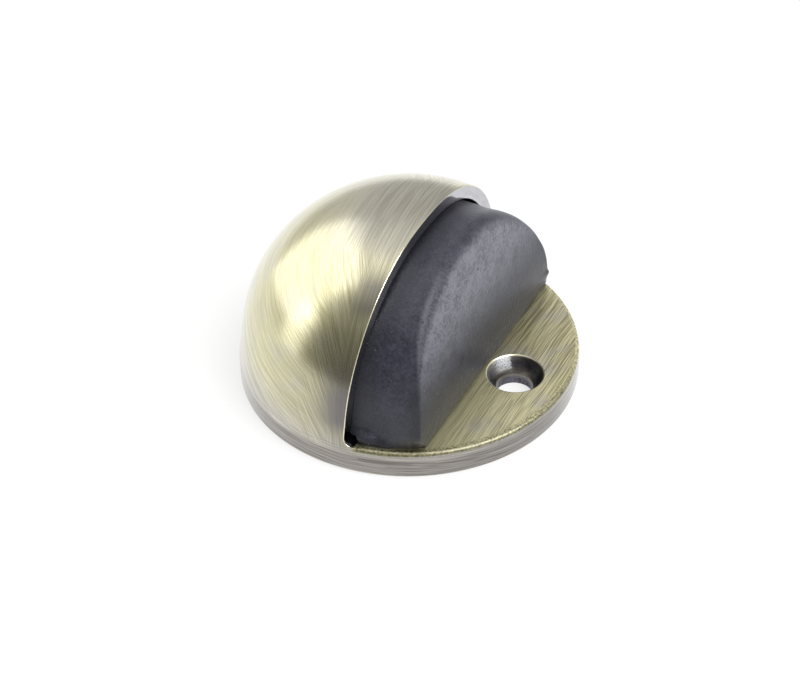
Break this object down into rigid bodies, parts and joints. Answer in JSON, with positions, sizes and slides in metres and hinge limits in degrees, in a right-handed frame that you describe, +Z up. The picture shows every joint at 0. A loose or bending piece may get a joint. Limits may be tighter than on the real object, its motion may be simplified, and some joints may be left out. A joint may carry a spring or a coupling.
{
  "type": "half-dome floor door stop",
  "caption": "Round floor-mounted door stop: a cast brass-finished half dome on a flat base, open at the front and filled by a black rubber buffer.",
  "frame": {"origin": "centre of the round base, on its underside", "axes": "+Z up from the floor to the crown of the dome; the open front with the rubber faces -Y; the object is symmetrical left to right about X = 0"},
  "size_m": [0.045, 0.045, 0.0249],
  "materials": {
    "casting_brass": "brushed antique brass plating on a die casting, satin",
    "buffer_rubber": "moulded black rubber, matt with a fine dusty mottle",
    "insert_brass": "plain turned brass",
    "screw_steel": "bright zinc-plated steel"
  },
  "bodies": {
    "root": {"body_casting": "casting_brass", "rubber_buffer": "buffer_rubber", "buffer_insert": "insert_brass", "retaining_screw": "screw_steel"}
  },
  "joints": []
}
